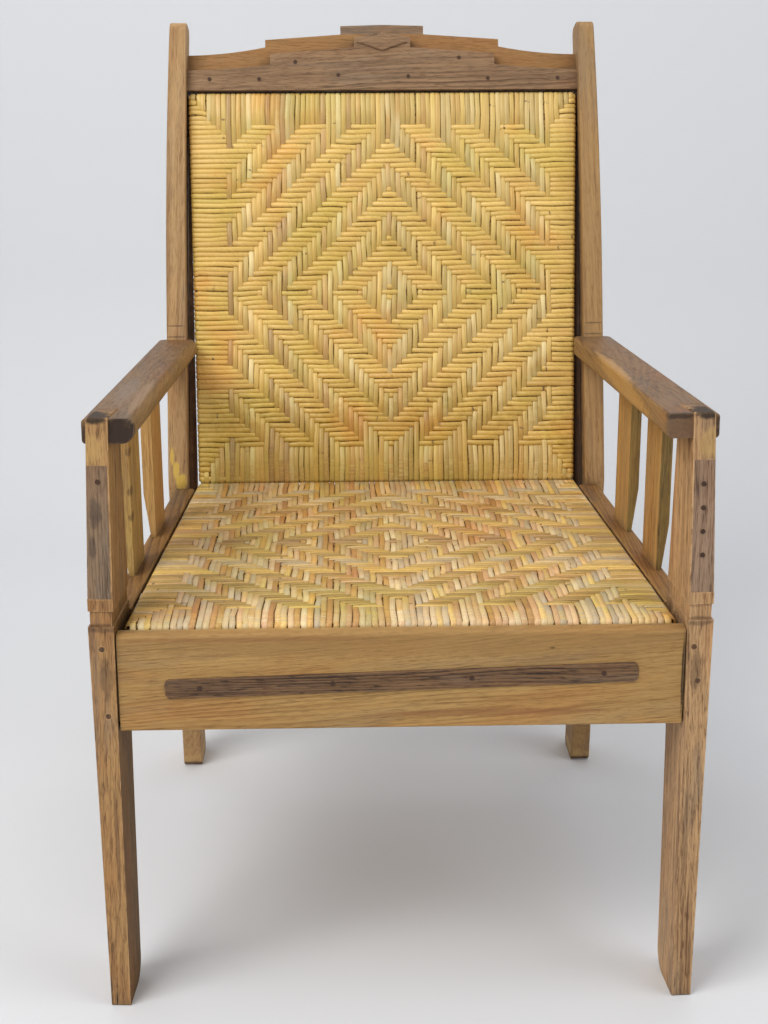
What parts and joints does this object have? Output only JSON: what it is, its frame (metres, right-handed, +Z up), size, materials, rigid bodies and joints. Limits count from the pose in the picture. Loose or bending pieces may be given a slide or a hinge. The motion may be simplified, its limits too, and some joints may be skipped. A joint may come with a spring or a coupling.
{
  "type": "armchair",
  "caption": "Plank-built wooden armchair with raked back, slatted open arms, stepped crest, dark inlays and woven rattan seat and back panels.",
  "frame": {"origin": "the point on the floor under the middle of the chair's overall box", "axes": "+X to the right as seen from the front, +Y from the front of the seat to the back, +Z up"},
  "size_m": [0.64, 0.7744, 1.0316],
  "materials": {
    "golden_wood": "worn, unvarnished",
    "arm_wood": "worn, hand polished",
    "crest_wood": "worn, unvarnished",
    "dark_wood": "worn, unvarnished",
    "peg_wood": "end grain",
    "rattan": "split rattan, satin skin",
    "nail_iron": "blackened"
  },
  "bodies": {
    "chair": {"front_leg_left": "golden_wood", "front_leg_right": "golden_wood", "back_leg_left": "golden_wood", "back_leg_right": "golden_wood", "front_rail": "golden_wood", "side_rail_left": "golden_wood", "side_rail_right": "golden_wood", "rear_rail": "golden_wood", "seat_cleat_left": "golden_wood", "seat_cleat_right": "golden_wood", "arm_left": "arm_wood", "arm_right": "arm_wood", "slat_front_left": "golden_wood", "slat_rear_left": "golden_wood", "slat_front_right": "golden_wood", "slat_rear_right": "golden_wood", "crest_face_board": "dark_wood", "crest_cap": "dark_wood", "front_rail_strip": "dark_wood", "leg_inlay_left": "dark_wood", "leg_inlay_right": "dark_wood", "crest_rail": "crest_wood", "back_frame_top": "golden_wood", "back_frame_bottom": "golden_wood", "back_frame_left": "golden_wood", "back_frame_right": "golden_wood", "back_weave_front": "rattan", "back_weave_rear": "rattan", "crest_nails": "nail_iron", "strip_nails": "nail_iron", "inlay_nails": "nail_iron", "leg_pegs": "peg_wood", "panel_dowels": "peg_wood"},
    "seat": {"seat_frame_front": "golden_wood", "seat_frame_back": "golden_wood", "seat_frame_left": "golden_wood", "seat_frame_right": "golden_wood", "seat_weave_upper": "rattan", "seat_weave_under": "rattan"}
  },
  "joints": [
    {"name": "seat_lift", "type": "slide", "parent": "chair", "child": "seat", "axis": [0, 0, 1], "range_m": [0, 0.1]}
  ]
}
